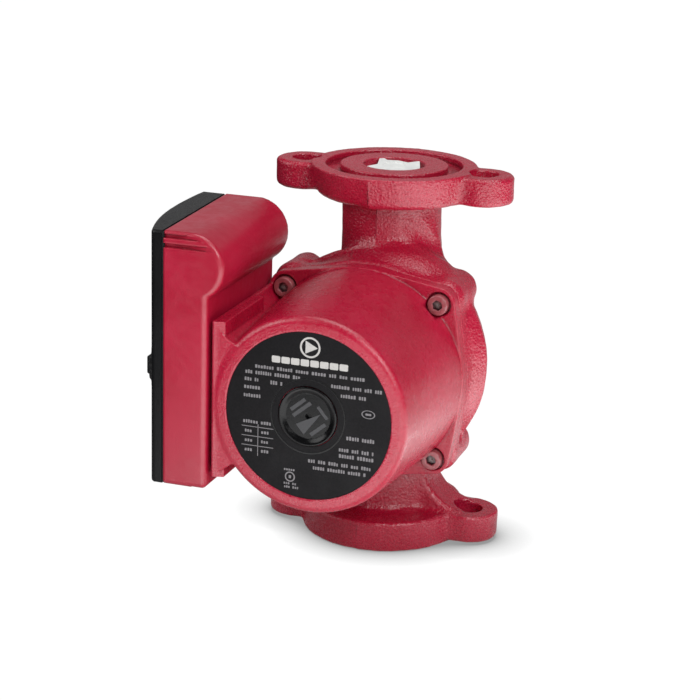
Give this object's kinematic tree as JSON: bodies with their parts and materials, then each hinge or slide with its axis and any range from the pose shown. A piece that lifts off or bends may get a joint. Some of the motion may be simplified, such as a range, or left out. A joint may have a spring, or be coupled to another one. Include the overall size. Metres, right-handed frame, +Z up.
{
  "type": "circulator pump",
  "caption": "Wet-rotor circulator pump: cast flanged housing, round motor with nameplate, side terminal box with speed knob, and a check valve in the discharge port.",
  "frame": {"origin": "centre of the suction flange face, at the foot of the pump", "axes": "+Z up the pipe axis from the suction flange to the discharge flange; -Y along the motor axis towards the nameplate; -X towards the terminal box and its cover"},
  "size_m": [0.1333, 0.1416, 0.165],
  "materials": {
    "housing_red": "satin",
    "motor_red": "satin",
    "box_red": "satin",
    "screw_red": "satin",
    "cover_black": "satin",
    "plate_black": "satin",
    "plug_black": "satin",
    "knob_black": "satin",
    "white_plastic": "satin",
    "poppet_plastic": "satin",
    "rubber_black": "matte",
    "steel": "satin",
    "core_steel": "satin",
    "ceramic": "satin",
    "carbon": "matte",
    "impeller_plastic": "satin",
    "copper": "gloss",
    "brass": "satin",
    "capacitor_case": "satin",
    "cream_plastic": "satin",
    "switch_plastic": "satin",
    "wire_blue": "satin",
    "wire_black": "satin",
    "screw_green": "satin"
  },
  "bodies": {
    "pump": {"pump_housing": "housing_red", "neck_ring": "steel", "check_valve_cage": "white_plastic", "check_valve_o_ring": "rubber_black", "check_valve_spring": "steel", "housing_gasket": "rubber_black", "bearing_plate": "steel", "rear_bearing": "ceramic", "rotor_can": "steel", "can_o_ring": "rubber_black", "front_bearing": "ceramic", "front_bearing_plate": "steel", "motor_housing": "motor_red", "housing_screws": "screw_red", "nameplate": "plate_black", "vent_plug": "plug_black", "vent_plug_seal": "rubber_black", "stator_core": "core_steel", "front_winding": "copper", "rear_winding": "copper", "winding_insulators": "white_plastic", "lead_wires": "wire_blue", "box_gasket": "rubber_black", "terminal_box": "box_red", "box_screws": "steel", "cover_gasket": "rubber_black", "terminal_cover": "cover_black", "cover_screws": "steel", "capacitor": "capacitor_case", "capacitor_clip": "steel", "terminal_block": "cream_plastic", "terminal_screws": "brass", "ground_screw": "screw_green", "switch_body": "switch_plastic", "jumper_wires": "wire_black"},
    "rotor": {"rotor_shaft": "ceramic", "rotor_core": "core_steel", "rotor_sleeve": "steel", "thrust_bearing": "carbon", "thrust_bearing_mount": "rubber_black", "impeller_back_plate": "impeller_plastic", "impeller_blades": "impeller_plastic", "impeller_front_plate": "impeller_plastic", "impeller_clip": "steel"},
    "speed_selector": {"speed_knob": "knob_black", "selector_spindle": "steel", "switch_wiper": "brass"},
    "check_poppet": {"check_valve_poppet": "poppet_plastic"}
  },
  "joints": [
    {"name": "rotor_spin", "type": "hinge", "parent": "pump", "child": "rotor", "pos_m": [0, -0.06, 0.0825], "axis": [0, 1, 0], "continuous": true},
    {"name": "speed_select", "type": "hinge", "parent": "pump", "child": "speed_selector", "pos_m": [-0.0776, -0.069, 0.087], "axis": [1, 0, 0], "range_deg": [-45, 45]},
    {"name": "check_lift", "type": "slide", "parent": "pump", "child": "check_poppet", "axis": [0, 0, 1], "range_m": [0, 0.006], "stiffness_N_per_m": 20, "springref_m": -0.005, "deforming": ["check_valve_spring"]}
  ]
}
